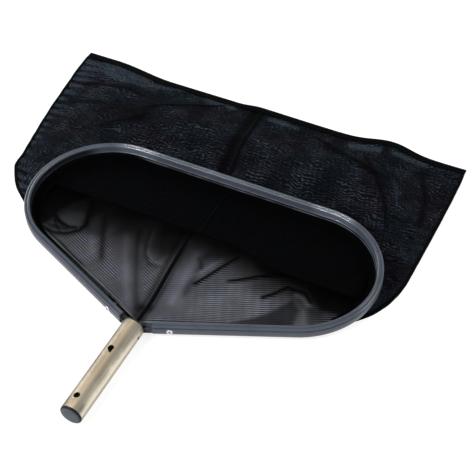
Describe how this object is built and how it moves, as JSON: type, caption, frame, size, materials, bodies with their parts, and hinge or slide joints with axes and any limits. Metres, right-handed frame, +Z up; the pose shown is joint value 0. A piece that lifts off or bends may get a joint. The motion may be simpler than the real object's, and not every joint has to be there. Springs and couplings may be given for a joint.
{
  "type": "leaf skimmer net",
  "caption": "Leaf skimmer net: a bent strip hoop with rounded corners on a short tube handle, holding a mesh bag that lies behind it.",
  "frame": {"origin": "Middle of the handle tube's open end, on the tube's axis.", "axes": "+Y along the handle towards the bag, +X to the right seen from the handle, +Z up, out of the surface the net lies on."},
  "size_m": [0.605, 0.5995, 0.0286],
  "materials": {
    "anodised_tube": "champagne anodised, fine drawn lines",
    "dark_plastic": "moulded, slate grey",
    "black_plastic": "moulded, black",
    "plain_steel": "plain wire",
    "slate_strip": "satin slate blue coat on an aluminium extrusion",
    "bare_aluminium": "bare, pressed",
    "black_mesh": "fine woven mesh",
    "black_tape": "woven tape"
  },
  "bodies": {
    "root": {"handle_tube": "anodised_tube", "end_plug": "dark_plastic", "stem_pin": "plain_steel", "yoke": "black_plastic", "hoop": "slate_strip", "hoop_rivets": "bare_aluminium", "hoop_rivet_mandrels": "plain_steel", "hem_bead": "black_plastic", "mouth_hem": "black_tape", "apex_patch": "black_tape", "lower_mesh_left": "black_mesh", "lower_mesh_right": "black_mesh", "upper_mesh_left": "black_mesh", "upper_mesh_right": "black_mesh", "lower_centre_seam": "black_tape", "upper_centre_seam": "black_tape", "side_seam_left": "black_tape", "side_seam_right": "black_tape", "rear_binding": "black_tape"}
  },
  "joints": []
}
